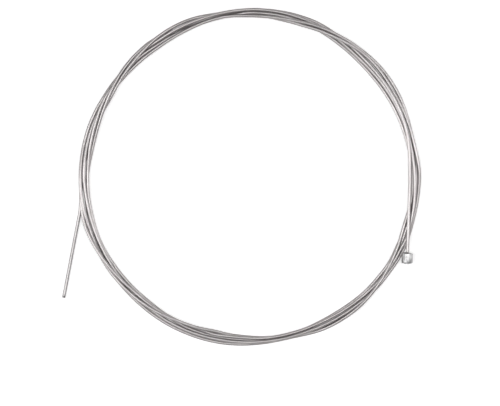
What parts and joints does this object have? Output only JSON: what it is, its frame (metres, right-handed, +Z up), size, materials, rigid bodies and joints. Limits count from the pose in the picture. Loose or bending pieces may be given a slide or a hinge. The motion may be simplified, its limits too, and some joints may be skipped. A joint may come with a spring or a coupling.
{
  "type": "bicycle shift cable",
  "caption": "Long thin steel strand wound into a flat round coil, with a small cylindrical cast nipple on one end and the other end cut and left free.",
  "frame": {"origin": "middle of the whole part's box, on the surface that the coil lies on", "axes": "+Z up along the coil's axis, +X along the longest side of the box, from the free tail towards the nipple, +Y the way that the strand leaves the nipple"},
  "size_m": [0.129, 0.1228, 0.0051],
  "materials": {
    "strand_steel": "bright drawn stainless strand, satin",
    "cast_zinc": "smooth cast zinc alloy, satin"
  },
  "bodies": {
    "root": {"cable_coil": "strand_steel", "cable_lead": "strand_steel", "cable_tail": "strand_steel", "nipple": "cast_zinc"}
  },
  "joints": []
}
